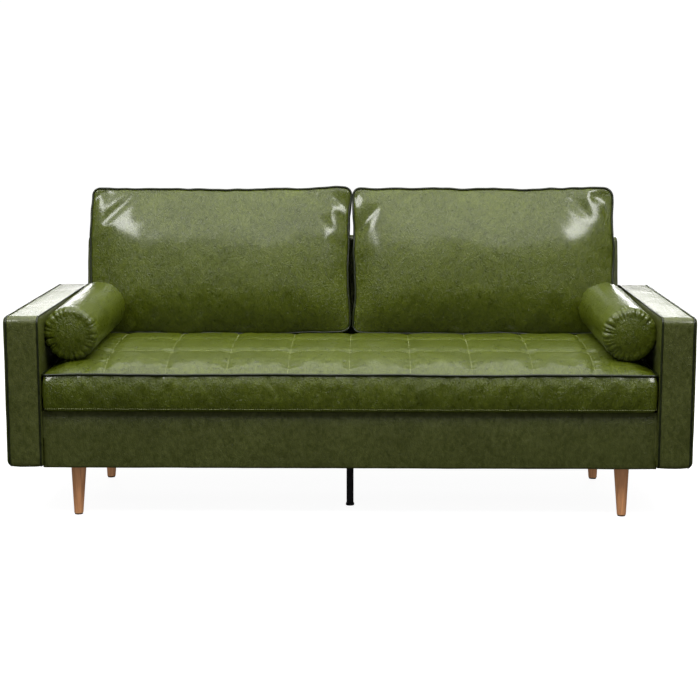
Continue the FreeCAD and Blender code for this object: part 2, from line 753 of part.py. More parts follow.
def back_cushion(name, side):
    """A boxed cushion that leans on the back, with piping round its front and rear faces."""
    seat = (
        f"{side} * (cushion_gap + cushion_width) / 2",
        "-cushion_clearance - piping_radius - cushion_depth / 2",
        "cushion_low + cushion_tall / 2",
    )
    block = rounded_shell(
        f"back_cushion_block_{name}", "XZ_Plane", cushion_outline("0"),
        cushion_outline("cover_wall"), "cushion_depth", "cushion_corner", "y", range(4)
    )
    inset = "(cover_wall + play)"
    inner = cushion_outline(inset)
    fill = prism(f"back_cushion_fill_{name}", "XZ_Plane", inner, f"cushion_depth - 2 * {inset}")
    round_edges(fill, f"cushion_corner - {inset}", "y", inner)
    for body in (block, fill):
        lean_back(body, *seat)
    doc.recompute()
    paths = []
    for face in (-value("cushion_depth") / 2, value("cushion_depth") / 2):
        corners = [FreeCAD.Vector(value(x), face, value(z)) for x, z in cushion_outline("0")]
        paths.append(rounded_path(corners, value("cushion_corner"), closed=True))
    label = f"back_cushion_piping_{name}"
    _, groove = piping_and_groove(label, paths, block.Placement)
    node(cut(f"back_cushion_cover_{name}", block, groove))
    node(fill)


for side_name, side_sign in SIDES.items():
    back_cushion(side_name, side_sign)


# ---------------------------------------------------------------- bolsters


def bolster_cylinder(name, side, inset):
    """A cylinder along the bolster's axis, pulled in all round."""
    rod = doc.addObject("Part::Cylinder", name)
    bind(rod, Radius=f"bolster_radius - {inset}", Height=f"bolster_length - 2 * {inset}")
    toe = FreeCAD.Rotation(FreeCAD.Vector(0, 0, 1), -side * -value("bolster_toe"))
    rise = FreeCAD.Rotation(FreeCAD.Vector(1, 0, 0), value("bolster_rise") - 90)
    turn = toe.multiply(rise)
    across = side * value(f"{BETWEEN_ARMS_HALF} - bolster_radius")
    front_end = FreeCAD.Vector(across, value("bolster_front"), value("bolster_height"))
    start = front_end + turn.multVec(FreeCAD.Vector(0, 0, value(inset)))
    rod.Placement = FreeCAD.Placement(start, turn)
    return rod


def rounded_ends(name, rod, radius):
    rounded = doc.addObject("Part::Fillet", name)
    rounded.Base = rod
    doc.recompute()
    rims = [i for i, edge in enumerate(rod.Shape.Edges, 1) if edge.Closed]
    rounded.Edges = [(rim, radius, radius) for rim in rims]
    doc.recompute()
    return rounded


for side_name, side_sign in SIDES.items():
    skin = bolster_cylinder(f"bolster_skin_{side_name}", side_sign, "0")
    space = bolster_cylinder(f"bolster_space_{side_name}", side_sign, "cover_wall")
    core = bolster_cylinder(f"bolster_core_{side_name}", side_sign, "(cover_wall + play)")
    skin = rounded_ends(f"bolster_round_{side_name}", skin, value("bolster_rim"))
    node(cut(f"bolster_cover_{side_name}", skin, space))
    node(rounded_ends(f"bolster_fill_{side_name}", core, value("bolster_fill_rim")))


# ---------------------------------------------------------------- check and write

doc.recompute()
failed = [
    thing.Label
    for thing in doc.Objects
    if any(state in ("Invalid", "Error") for state in thing.State)
]
for thing in subparts:
    if thing.Shape.isNull() or not thing.Shape.isValid() or not thing.Shape.Solids:
        failed.append(thing.Label)
if failed:
    raise RuntimeError("not built: " + ", ".join(failed))

os.makedirs("parts", exist_ok=True)
for thing in subparts:
    thing.Shape.exportStep(f"parts/{thing.Label}.step")
print(len(subparts), "sub-parts written")
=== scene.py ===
"""Look of the sofa: leather covers, piping, stitching and wood, riding on the CAD bodies."""
import math

import bmesh
import bpy
import numpy as np
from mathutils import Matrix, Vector, noise


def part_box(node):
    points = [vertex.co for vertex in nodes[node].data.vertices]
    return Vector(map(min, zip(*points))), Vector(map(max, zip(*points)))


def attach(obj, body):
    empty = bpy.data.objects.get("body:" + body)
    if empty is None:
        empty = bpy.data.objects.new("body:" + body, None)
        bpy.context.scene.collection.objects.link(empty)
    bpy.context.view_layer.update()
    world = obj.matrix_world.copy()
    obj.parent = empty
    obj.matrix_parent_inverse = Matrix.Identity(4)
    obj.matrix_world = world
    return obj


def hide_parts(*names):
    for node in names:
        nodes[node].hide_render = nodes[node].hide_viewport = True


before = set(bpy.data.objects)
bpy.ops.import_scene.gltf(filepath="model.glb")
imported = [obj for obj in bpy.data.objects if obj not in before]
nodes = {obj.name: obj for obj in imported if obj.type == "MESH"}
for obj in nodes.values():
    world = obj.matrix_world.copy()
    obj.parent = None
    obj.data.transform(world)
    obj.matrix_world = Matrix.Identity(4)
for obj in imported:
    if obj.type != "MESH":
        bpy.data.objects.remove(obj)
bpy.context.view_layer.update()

scene = bpy.context.scene
SIDES = {"left": -1, "right": 1}


# ---------------------------------------------------------------- mesh helpers

def add_mesh(name, points, faces):
    """A smooth-shaded mesh object with its faces turned outwards."""
    mesh = bpy.data.meshes.new(name)
    mesh.from_pydata([tuple(p) for p in points], [], faces)
    bm = bmesh.new()
    bm.from_mesh(mesh)
    bmesh.ops.recalc_face_normals(bm, faces=bm.faces)
    bm.to_mesh(mesh)
    bm.free()
    mesh.polygons.foreach_set("use_smooth", [True] * len(mesh.polygons))
    mesh.update()
    obj = bpy.data.objects.new(name, mesh)
    scene.collection.objects.link(obj)
    return obj


def vertex_values(mesh, key):
    """The co or the normal of every vertex, as an array."""
    values = np.empty(len(mesh.vertices) * 3, np.float32)
    mesh.vertices.foreach_get(key, values)
    return values.reshape(-1, 3).astype(float)


def points_of(obj):
    """The object's vertices as an array."""
    return vertex_values(obj.data, "co")


def normals_of(obj):
    """The object's vertex normals as an array."""
    return vertex_values(obj.data, "normal")


def set_points(obj, points):
    """Writes the vertices back."""
    obj.data.vertices.foreach_set("co", np.asarray(points, np.float32).ravel())
    obj.data.update()


def ripple(points, scale, seed):
    """Smooth noise in -1..1 for each point. scale is waves per metre."""
    shift = Vector((seed * 7.31, seed * 3.17, seed * 5.93))
    return np.array([noise.noise(Vector(p) * scale + shift) for p in points])


def near(distance, reach):
    """1 on a line, fading out past reach from it."""
    return np.exp(-(distance / reach) ** 2)


def strip(a, b):
    """Quads between two closed loops of vertex numbers."""
    count = len(a)
    return [(a[k], a[(k + 1) % count], b[(k + 1) % count], b[k]) for k in range(count)]


def subdivide(obj):
    """Adds one level of subdivision surface."""
    mod = obj.modifiers.new("smooth", "SUBSURF")
    mod.levels = 1
    mod.render_levels = 1


def smooth_line(path, times=2):
    """Cuts a closed line's corners and doubles its points, times over."""
    for _ in range(times):
        after = np.roll(path, -1, axis=0)
        cut = np.empty((len(path) * 2, 3))
        cut[0::2] = path * 0.75 + after * 0.25
        cut[1::2] = path * 0.25 + after * 0.75
        path = cut
    return path


CORD_SIDES = 8
CORD_UNEVEN = 0.05


def tube(name, path, radius, seed):
    """A round cord along a closed line, its thickness a little uneven."""
    count = len(path)
    along = np.roll(path, -1, axis=0) - np.roll(path, 1, axis=0)
    along /= np.linalg.norm(along, axis=1)[:, None]
    # a side direction carried along the line without twisting
    side = np.cross(along[0], (0.31, 0.87, 0.38))
    sides_at = []
    for d in along:
        side = side - d * side.dot(d)
        side /= np.linalg.norm(side)
        sides_at.append(side)
    sides_at = np.array(sides_at)
    up = np.cross(along, sides_at)
    thick = radius * (1 + CORD_UNEVEN * ripple(path, 60, seed))
    turns = np.arange(CORD_SIDES) * 2 * math.pi / CORD_SIDES
    rings = (path[:, None, :]
             + thick[:, None, None] * (np.cos(turns)[None, :, None] * sides_at[:, None, :]
                                       + np.sin(turns)[None, :, None] * up[:, None, :]))
    faces = []
    for i in range(count):
        a, b = i * CORD_SIDES, (i + 1) % count * CORD_SIDES
        for k in range(CORD_SIDES):
            m = (k + 1) % CORD_SIDES
            faces.append((a + k, b + k, b + m, a + m))
    return add_mesh(name, rings.reshape(-1, 3), faces)


THREAD_SIDES = 5


def stitches(name, lines, length, pitch, radius):
    """Separate thread stitches along lines, each a small spindle. lines holds (points, normals)."""
    sides = THREAD_SIDES
    points, faces = [], []
    for path, normals in lines:
        run = np.concatenate([[0], np.cumsum(np.linalg.norm(np.diff(path, axis=0), axis=1))])
        for start in np.arange(pitch / 2, run[-1] - pitch / 2, pitch):
            ends = [np.array([np.interp(start + s, run, path[:, k]) for k in range(3)])
                    for s in (0, length)]
            normal = np.array([np.interp(start, run, normals[:, k]) for k in range(3)])
            normal /= np.linalg.norm(normal)
            along = ends[1] - ends[0]
            along /= np.linalg.norm(along)
            across = np.cross(along, normal)
            base = len(points)
            points.append(ends[0])
            for f in (0.22, 0.78):
                middle = ends[0] + (ends[1] - ends[0]) * f + normal * radius * 0.9
                for k in range(sides):
                    a = 2 * math.pi * k / sides
                    points.append(middle + radius * (math.cos(a) * across + math.sin(a) * normal))
            points.append(ends[1])
            tip = base + 1 + 2 * sides
            for k in range(sides):
                m = (k + 1) % sides
                faces.append((base, base + 1 + m, base + 1 + k))
                faces.append((base + 1 + k, base + 1 + m,
                              base + 1 + sides + m, base + 1 + sides + k))
                faces.append((tip, base + 1 + sides + k, base + 1 + sides + m))
    return add_mesh(name, points, faces)


# ---------------------------------------------------------------- cloth helpers

def settle(obj, held, grow, cap, pressure, frames):
    """Inflates the cover as cloth. held is 0..1 for each vertex, grow how much larger the cloth is
    than its start, cap how far each vertex may move, and frames how long it settles."""
    start = points_of(obj)
    group = obj.vertex_groups.new(name="held")
    for weight in np.unique(held):
        if weight > 0:
            group.add([int(i) for i in np.nonzero(held == weight)[0]], float(weight), "REPLACE")
    mod = obj.modifiers.new("cloth", "CLOTH")
    cloth = mod.settings
    cloth.quality = 6
    cloth.mass = 0.4
    cloth.air_damping = 2.0
    cloth.tension_stiffness = 18
    cloth.compression_stiffness = 18
    cloth.shear_stiffness = 8
    cloth.bending_stiffness = 5.0
    cloth.use_pressure = True
    cloth.uniform_pressure_force = pressure
    cloth.shrink_min = -grow
    cloth.vertex_group_mass = "held"
    cloth.effector_weights.gravity = 0
    mod.collision_settings.use_collision = False
    mod.point_cache.frame_start = 1
    mod.point_cache.frame_end = frames
    for step in range(1, frames + 1):
        scene.frame_set(step)
    graph = bpy.context.evaluated_depsgraph_get()
    settled = vertex_values(obj.evaluated_get(graph).to_mesh(), "co")
    obj.evaluated_get(graph).to_mesh_clear()
    obj.modifiers.remove(mod)
    obj.vertex_groups.remove(group)
    scene.frame_set(1)
    move = np.nan_to_num(settled - start)
    size = np.linalg.norm(move, axis=1)
    soft = np.maximum(cap, 1e-6)
    keep = soft * np.tanh(size / soft) / np.maximum(size, 1e-9)
    set_points(obj, start + move * np.minimum(keep, 1)[:, None])


def boxed(across, up, rows):
    """The layout of a boxed cushion cover: a front panel of across by up cells, a border of rows
    cells round it, and a rear panel. u and v run from -1 to 1 and t from 0, front, to 1, rear."""
    u, v = np.meshgrid(np.linspace(-1, 1, across + 1), np.linspace(-1, 1, up + 1), indexing="ij")
    panel = np.stack([u.ravel(), v.ravel()], axis=1)
    at = lambda i, j: i * (up + 1) + j
    loop = ([at(i, 0) for i in range(across)] + [at(across, j) for j in range(up)]
            + [at(i, up) for i in range(across, 0, -1)] + [at(0, j) for j in range(up, 0, -1)])
    uv, t = [panel], [np.zeros(len(panel))]
    loops = [loop]
    total = len(panel)
    for k in range(1, rows):
        uv.append(panel[loop])
        t.append(np.full(len(loop), k / rows))
        loops.append(list(range(total, total + len(loop))))
        total += len(loop)
    uv.append(panel)
    t.append(np.ones(len(panel)))
    loops.append([total + i for i in loop])
    faces = []
    for i in range(across):
        for j in range(up):
            cell = (at(i, j), at(i + 1, j), at(i + 1, j + 1), at(i, j + 1))
            faces.append(cell)
            faces.append(tuple(total + c for c in reversed(cell)))
    count = len(loop)
    for a, b in zip(loops, loops[1:]):
        for i in range(count):
            j = (i + 1) % count
            faces.append((a[i], b[i], b[j], a[j]))
    return {"uv": np.vstack(uv), "t": np.concatenate(t), "loops": [np.array(x) for x in loops],
            "faces": faces, "at": at, "panel": len(panel), "rear": total}


def rounded(uv, width, height, radius):
    """Rectangle points in metres for uv in -1..1, with round corners, and the outward direction."""
    half = np.array([width / 2, height / 2])
    p = uv * half
    over = np.clip(np.abs(p) - (half - radius), 0, None) / radius
    bent = over * np.sqrt(1 - over[:, ::-1] ** 2 / 2)
    out = np.sign(p) * (np.minimum(np.abs(p), half - radius) + radius * bent)
    direction = np.sign(p) * over
    size = np.linalg.norm(direction, axis=1)
    direction = direction / np.maximum(size, 1e-9)[:, None]
    return out, direction


def shoulder(distance, reach, power=2.2):
    """0 at a seam, rising to 1 at reach from it."""
    return 1 - (1 - np.clip(distance / reach, 0, 1)) ** power


# ---------------------------------------------------------------- materials

class Shader:
    """A small builder of node materials round one Principled shader."""

    def __init__(self, name):
        self.material = bpy.data.materials.new(name)
        self.material.use_nodes = True
        self.tree = self.material.node_tree
        self.bsdf = next(n for n in self.tree.nodes if n.type == "BSDF_PRINCIPLED")
        self.coords = self.tree.nodes.new("ShaderNodeTexCoord").outputs["Object"]

    def set(self, **values):
        for key, value in values.items():
            self.bsdf.inputs[key.replace("_", " ")].default_value = value

    def link(self, a, b):
        self.tree.links.new(a, b)

    def stretched(self, scale, turn=(0, 0, 0)):
        node = self.tree.nodes.new("ShaderNodeMapping")
        node.inputs["Scale"].default_value = scale
        node.inputs["Rotation"].default_value = turn
        self.link(self.coords, node.inputs["Vector"])
        return node.outputs["Vector"]

    def noise(self, scale, detail=4.0, rough=0.55, warp=0.0, vector=None):
        node = self.tree.nodes.new("ShaderNodeTexNoise")
        node.inputs["Scale"].default_value = scale
        node.inputs["Detail"].default_value = detail
        node.inputs["Roughness"].default_value = rough
        node.inputs["Distortion"].default_value = warp
        self.link(vector or self.coords, node.inputs["Vector"])
        return node.outputs["Fac"]

    def cells(self, scale):
        node = self.tree.nodes.new("ShaderNodeTexVoronoi")
        node.inputs["Scale"].default_value = scale
        self.link(self.coords, node.inputs["Vector"])
        return node.outputs["Distance"]

    def ramp(self, value, stops):
        """stops are two of (place, colour)."""
        node = self.tree.nodes.new("ShaderNodeValToRGB")
        for element, (place, colour) in zip(node.color_ramp.elements, stops):
            element.position = place
            element.color = (*colour, 1)
        self.link(value, node.inputs["Fac"])
        return node.outputs["Color"]

    def between(self, value, low, high, start=0.0, end=1.0):
        node = self.tree.nodes.new("ShaderNodeMapRange")
        for key, v in (("From Min", start), ("From Max", end), ("To Min", low), ("To Max", high)):
            node.inputs[key].default_value = v
        self.link(value, node.inputs["Value"])
        return node.outputs["Result"]

    def maths(self, operation, a, b):
        node = self.tree.nodes.new("ShaderNodeMath")
        node.operation = operation
        for socket, value in zip(node.inputs, (a, b)):
            if isinstance(value, (int, float)):
                socket.default_value = value
            else:
                self.link(value, socket)
        return node.outputs["Value"]

    def mix(self, factor, a, b, mode="MIX"):
        node = self.tree.nodes.new("ShaderNodeMix")
        node.data_type = "RGBA"
        node.blend_type = mode
        if isinstance(factor, (int, float)):
            node.inputs[0].default_value = factor
        else:
            self.link(factor, node.inputs[0])
        for socket, value in ((node.inputs[6], a), (node.inputs[7], b)):
            if isinstance(value, tuple):
                socket.default_value = (*value, 1)
            else:
                self.link(value, socket)
        return node.outputs[2]

    def colour(self, value):
        self.link(value, self.bsdf.inputs["Base Color"])

    def roughness(self, value):
        self.link(value, self.bsdf.inputs["Roughness"])

    def bump(self, *layers):
        """layers are (height, depth in metres), the broadest first."""
        normal = None
        for height, depth in layers:
            node = self.tree.nodes.new("ShaderNodeBump")
            node.inputs["Distance"].default_value = depth
            self.link(height, node.inputs["Height"])
            if normal is not None:
                self.link(normal, node.inputs["Normal"])
            normal = node.outputs["Normal"]
        self.link(normal, self.bsdf.inputs["Normal"])


GRAIN_TURN = (0.3, 0.5, 0.2)
CRACKLE_TURN = (-0.4, 0.8, 0.6)
DENT_DEPTH, STREAK_DEPTH, CRACKLE_DEPTH = 0.0024, 0.0021, 0.0028


def leather(name, dark, light, crease, gloss, shine, coat):
    """Glossy artificial leather: mottled colour, soft dents, drawn-out streaks and a fine crackle.
    crease scales every bump, and gloss is the middle roughness."""
    s = Shader(name)
    broad = s.noise(9.0, 3.0)
    mottle = s.noise(85.0, 4.0, 0.62, 0.6, s.stretched((1.0, 1.0, 0.75), GRAIN_TURN))
    base = s.mix(s.between(broad, 0.0, 1.0, 0.3, 0.7), dark, light)
    tint = s.ramp(mottle, [(0.32, (0.72, 0.74, 0.62)), (0.68, (1.32, 1.28, 1.55))])
    s.colour(s.mix(1.0, base, tint, "MULTIPLY"))
    streaks = s.noise(100.0, 1.5, 0.5, 1.8, s.stretched((1.0, 1.0, 0.6), GRAIN_TURN))
    crackle = s.noise(125.0, 1.0, 0.5, 2.6, s.stretched((1.0, 1.0, 0.7), CRACKLE_TURN))
    crackle = s.maths("ABSOLUTE", s.maths("SUBTRACT", crackle, 0.5), 0.0)
    s.roughness(s.between(mottle, gloss - 0.06, gloss + 0.10, 0.3, 0.7))
    s.bump((s.noise(13.0, 3.0, 0.5, 0.3), DENT_DEPTH * crease),
           (streaks, STREAK_DEPTH * crease),
           (crackle, CRACKLE_DEPTH * crease))
    s.set(Specular_IOR_Level=shine, Coat_Weight=coat, Coat_Roughness=0.17)
    return s.material


def wood(name, dark, light, scale, gloss, polish=0.0):
    """Wood with its grain along Z: drawn-out streaks, fine pores and slow colour drift."""
    s = Shader(name)
    fibre = s.noise(scale, 6.0, 0.6, 0.8, s.stretched((1.0, 1.0, 0.06)))
    rings = s.noise(scale * 0.28, 2.0, 0.5, 1.2, s.stretched((1.0, 1.0, 0.12)))
    drift = s.noise(9.0, 2.0)
    base = s.mix(s.between(fibre, 0.0, 1.0, 0.32, 0.68), dark, light)
    base = s.mix(s.between(rings, 0.0, 0.45, 0.4, 0.6), base, dark)
    s.colour(s.mix(s.between(drift, 0.0, 0.25), base, tuple(c * 1.15 for c in light)))
    pores = s.noise(scale * 9, 3.0, 0.6, 0.0, s.stretched((1.0, 1.0, 0.05)))
    s.roughness(s.between(fibre, gloss - 0.06, gloss + 0.1))
    s.bump((fibre, 0.0004), (pores, 0.00015))
    s.set(Coat_Weight=polish, Coat_Roughness=0.25)
    return s.material


def woven(name, dark, light, threads, rough=0.9):
    """Woven or felted cloth: crossing threads with uneven colour."""
    s = Shader(name)
    warp = s.noise(threads, 2.0, 0.5, 0.0, s.stretched((1.0, 0.12, 1.0)))
    weft = s.noise(threads, 2.0, 0.5, 0.0, s.stretched((0.12, 1.0, 0.3)))
    cloth = s.maths("ADD", warp, weft)
    s.colour(s.mix(s.between(cloth, 0.0, 1.0, 0.75, 1.25), dark, light))
    s.roughness(s.between(s.noise(30.0), rough - 0.08, min(rough + 0.06, 1.0)))
    s.bump((cloth, 0.0005), (s.noise(threads * 3), 0.0002))
    return s.material


def foamy(name, dark, light):
    """Open-cell foam: fine cells and slow yellowing."""
    s = Shader(name)
    cells = s.cells(700.0)
    s.colour(s.mix(s.noise(12.0, 4.0), dark, light))
    s.roughness(s.between(cells, 0.85, 1.0))
    s.bump((s.noise(40.0), 0.001), (cells, 0.0004))
    return s.material


def metal(name, dark, light, rough, metallic):
    """Painted or bare metal with a fine orange-peel surface and slight wear."""
    s = Shader(name)
    wear = s.noise(45.0, 6.0, 0.7)
    s.colour(s.mix(s.between(wear, 0.0, 1.0, 0.35, 0.75), dark, light))
    s.roughness(s.between(wear, rough - 0.08, rough + 0.14, 0.3, 0.7))
    s.bump((s.noise(420.0, 2.0), 0.00012), (s.noise(60.0, 3.0), 0.0002))
    s.set(Metallic=metallic)
    return s.material


GREEN = leather("green_leather_skin", (0.0435, 0.0575, 0.0010), (0.056, 0.073, 0.0022),
                crease=1.0, gloss=0.31, shine=0.28, coat=0.42)
# the taut leather of the arms, fixed back, apron and outside back is creased less and rougher than
# the cushions'; the extra blue and grey in its base colour is a painted reflection of pale
# surroundings, not the leather's own tone
PANEL = leather("green_leather_taut", (0.046, 0.055, 0.0078), (0.058, 0.069, 0.0112),
                crease=0.55, gloss=0.40, shine=0.3, coat=0.25)
# the piping's near-black colour is partly painted shade: it is darkened so the seams, the lower
# ones too, stay as dark as shaded seams
CORD = leather("piping_skin", (0.006, 0.009, 0.0014), (0.012, 0.017, 0.0028),
               crease=0.4, gloss=0.38, shine=0.35, coat=0.25)
THREAD = woven("thread", (0.16, 0.18, 0.07), (0.34, 0.36, 0.17), 900.0, 0.7)
# the material of each CAD slot
SKINS = {
    "green_leather": GREEN,
    "piping": CORD,
    # the leg colours are the wood's tone lifted well above its own: painted light standing in for
    # the light the floor would bounce up
    "leg_wood": wood("leg_wood_grain_painted_light", (0.45, 0.188, 0.075), (0.86, 0.41, 0.175),
                     scale=120.0, gloss=0.40, polish=0.25),
    "frame_wood": wood("frame_wood_grain", (0.34, 0.20, 0.09), (0.55, 0.37, 0.19),
                       scale=60.0, gloss=0.75),
    "plywood": wood("plywood_grain", (0.40, 0.26, 0.13), (0.60, 0.43, 0.24),
                    scale=90.0, gloss=0.8),
    "foam": foamy("foam_cells", (0.62, 0.52, 0.26), (0.80, 0.72, 0.45)),
    "felt": woven("felt_wadding", (0.24, 0.24, 0.23), (0.50, 0.49, 0.46), 300.0),
    "webbing": woven("webbing_weave", (0.06, 0.055, 0.045), (0.30, 0.27, 0.20), 420.0),
    "deck_cloth": woven("deck_cloth_weave", (0.012, 0.012, 0.013), (0.04, 0.04, 0.042), 800.0),
    "spring_steel": metal("spring_steel_wire", (0.30, 0.30, 0.31), (0.52, 0.52, 0.53),
                          rough=0.34, metallic=1.0),
    "black_metal": metal("black_metal_paint", (0.008, 0.008, 0.009), (0.022, 0.022, 0.024),
                         rough=0.38, metallic=0.0),
    "black_plastic": metal("black_plastic_mould", (0.010, 0.010, 0.010), (0.025, 0.025, 0.024),
                           rough=0.5, metallic=0.0),
}


def dress(obj, skin, body, slot, *replaced, fill=None):
    """Finishes a piece: its material, body and the CAD nodes it stands for; slot and fill are not
    used.
    """
    obj.data.materials.append(skin)
    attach(obj, body)
    if replaced:
        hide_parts(*replaced)
    return obj


for node in nodes.values():
    for place in node.material_slots:
        if place.material:
            slot_name = place.material.name.split(".")[0]
            if slot_name in SKINS:
                place.material = SKINS[slot_name]

# ---------------------------------------------------------------- camera

LENS = 82.29
camera_data = bpy.data.cameras.new("camera")
camera_data.lens = LENS
camera_data.sensor_width = 36
camera = bpy.data.objects.new("camera", camera_data)
camera.location = (0.061, -4.628, 1.1457)
camera.rotation_euler = (math.radians(81.03), 0, math.radians(0.79))
scene.collection.objects.link(camera)
scene.camera = camera

# ---------------------------------------------------------------- back cushions

LEAN = math.radians(12)
RIGHT = np.array([1.0, 0, 0])
UP = np.array([0, math.sin(LEAN), math.cos(LEAN)])
BEHIND = np.array([0, math.cos(LEAN), -math.sin(LEAN)])
BACK_FOOT = np.array([0, 0.2216, 0.3035])
CUSHION_WIDTH, CUSHION_HEIGHT, CUSHION_THICK = 0.779, 0.4305, 0.130
CUSHION_CORNER = 0.024
# a cushion's middle: beside the sofa's middle, then up and forward from the foot of the back
CUSHION_ASIDE, CUSHION_RAISED, CUSHION_FORWARD = 0.393, 0.34325, 0.0692
# how far the front and rear seams lie inside the thickness
FRONT_SEAM_IN, REAR_SEAM_IN = 0.017, 0.004
# how far the front panel stands out, and how far its foot is drawn back
CUSHION_CROWN, FOOT_DRAWN = 0.035, 0.014
PIPING = 0.003


def back_cushion(side, sign, seed):
    """A boxed pillow: piped front and rear seams, a crowned front, and sides drawn in."""
    lay = boxed(88, 48, 13)
    uv, t = lay["uv"], lay["t"]
    flat, out = rounded(uv, CUSHION_WIDTH, CUSHION_HEIGHT, CUSHION_CORNER)
    half = np.array([CUSHION_WIDTH, CUSHION_HEIGHT]) / 2
    front, border = t == 0, (t > 0) & (t < 1)
    inner_side = uv[:, 0] * -sign
    from_foot, from_top = (1 + uv[:, 1]) * half[1], (1 - uv[:, 1]) * half[1]
    edge = np.minimum(half[0] - np.abs(uv[:, 0]) * half[0], half[1] - np.abs(uv[:, 1]) * half[1])
    # sides pull in between the corners, most where the two cushions meet
    side_pull = np.where(inner_side > 0, 0.0085, -0.0030) * (1 - np.abs(uv[:, 1]) ** 2.5)
    flat[:, 0] -= np.sign(uv[:, 0]) * side_pull * np.abs(uv[:, 0]) ** 3
    end_pull = np.where(uv[:, 1] > 0, 0.0035, -0.0075) * (1 - np.abs(uv[:, 0]) ** 4)
    flat[:, 1] -= np.sign(uv[:, 1]) * end_pull * np.abs(uv[:, 1]) ** 3
    front_at, rear_at = -CUSHION_THICK / 2 + FRONT_SEAM_IN, CUSHION_THICK / 2 - REAR_SEAM_IN
    depth = front_at + (rear_at - front_at) * t
    side_reach = np.where(inner_side > 0, 0.15, 0.25)
    crown = (shoulder((1 - np.abs(uv[:, 0])) * half[0], side_reach)
             * shoulder(from_foot, 0.14, 3.2) * shoulder(from_top, 0.24))
    depth = np.where(front, depth - CUSHION_CROWN * crown, depth)
    # the lower front seam is drawn back under the belly
    depth += FOOT_DRAWN * near(from_foot, 0.045) * (1 - t)
    swell = np.where(border, 0.004 * np.sin(math.pi * t), 0)
    flat += out * swell[:, None]
    points = (BACK_FOOT + np.array([sign * CUSHION_ASIDE, 0, 0])
              + flat[:, :1] * RIGHT + (CUSHION_RAISED + flat[:, 1:]) * UP
              + (depth - CUSHION_FORWARD)[:, None] * BEHIND)
    # hand-sewn seams wander a little, in and out and along the lean
    near_seam = near(edge, 0.03)
    wander = ripple(points, 9, seed) * 0.0062 + ripple(points, 27, seed + 3) * 0.0022
    stray = ripple(points, 13, seed + 7) * 0.004
    points += (near_seam * wander)[:, None] * (out[:, :1] * RIGHT + out[:, 1:] * UP)
    points += (near_seam * stray * (t < 0.5))[:, None] * BEHIND
    obj = add_mesh(f"back_cushion_{side}_leather", points, lay["faces"])
    held = np.zeros(len(points))
    held[lay["loops"][0]] = 1
    held[t == 1] = 1
    settle(obj, held, 0.004, np.where(front, 0.026, 0.0045), pressure=4.0, frames=20)
    points = points_of(obj)
    # the filling has slumped: a fuller belly and a softer upper part, with dents of its own
    belly = crown * front
    slump = 0.006 * np.sin(math.pi * np.clip(0.62 - uv[:, 1], 0, 1.4) / 1.6)
    dents = 0.0034 * ripple(points, 6.5, seed + 11) + 0.0011 * ripple(points, 19, seed + 13)
    points -= (belly * (slump + dents))[:, None] * BEHIND
    # tucks running into the top and bottom seams
    top, bottom = near(from_top, 0.034) * front, near(from_foot, 0.024) * front
    along = np.stack([points[:, 0], points[:, 2] * 0.12, np.zeros(len(points))], axis=1)
    tucks = ripple(along, 36, seed + 17) * (top * 0.0048 + bottom * 0.0012)
    clear = shoulder(edge, 0.008)
    points -= (tucks * clear)[:, None] * BEHIND
    set_points(obj, points)
    subdivide(obj)
    dress(obj, GREEN, f"back_cushion_{side}", "green_leather",
          f"back_cushion_cover_{side}", f"back_cushion_fill_{side}", fill=0.85)
    for number, loop in enumerate((lay["loops"][0], lay["loops"][-1])):
        path = points[loop]
        outward = path - path.mean(axis=0)
        outward -= outward.dot(BEHIND)[:, None] * BEHIND
        outward /= np.linalg.norm(outward, axis=1)[:, None]
        cord = tube(f"back_cushion_{side}_piping_{number}", smooth_line(path + outward * 0.0016),
                    PIPING, seed + number)
        dress(cord, CORD, f"back_cushion_{side}", "piping", f"back_cushion_piping_{side}")


for side, sign in SIDES.items():
    back_cushion(side, sign, 3 if sign < 0 else 8)

# ---------------------------------------------------------------- seat cushion

seat_low, seat_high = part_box("seat_cushion_cover")
WELT_Z = 0.405
SEAT_DEPTH = seat_high.y - seat_low.y
SEAT_WIDTH = seat_high.x - seat_low.x
COLUMNS, TUFT_ROWS = 10, 3
# mesh cells in each tuft, in the short rear row and down the border
CELL, REAR_CELLS, BORDER_CELLS = 20, 12, 13
ROW_DEPTH = SEAT_WIDTH / COLUMNS
SEAT_CROWN = 0.050
FOOT_ROLL, FOOT_INSET = 0.018, 0.013


def seat_crown(y):
    """Height of the crown above the welt at a place from the front, as a share of its top."""
    share = (y - seat_low.y) / SEAT_DEPTH
    return np.interp(share, (0, 0.045, 0.137, 0.276, 0.42, 0.556, 0.70, 0.81, 0.955, 1),
                     (0, 0.27, 0.60, 0.84, 0.96, 1.0, 0.96, 0.87, 0.50, 0.14))


FAR = 1.0


def from_line(number, last):
    """Mesh cells from the nearest line of tufting, and whether it is an outer, unsewn one."""
    off = np.abs((number + CELL / 2) % CELL - CELL / 2)
    return off, (number < CELL / 2) | (number > last)


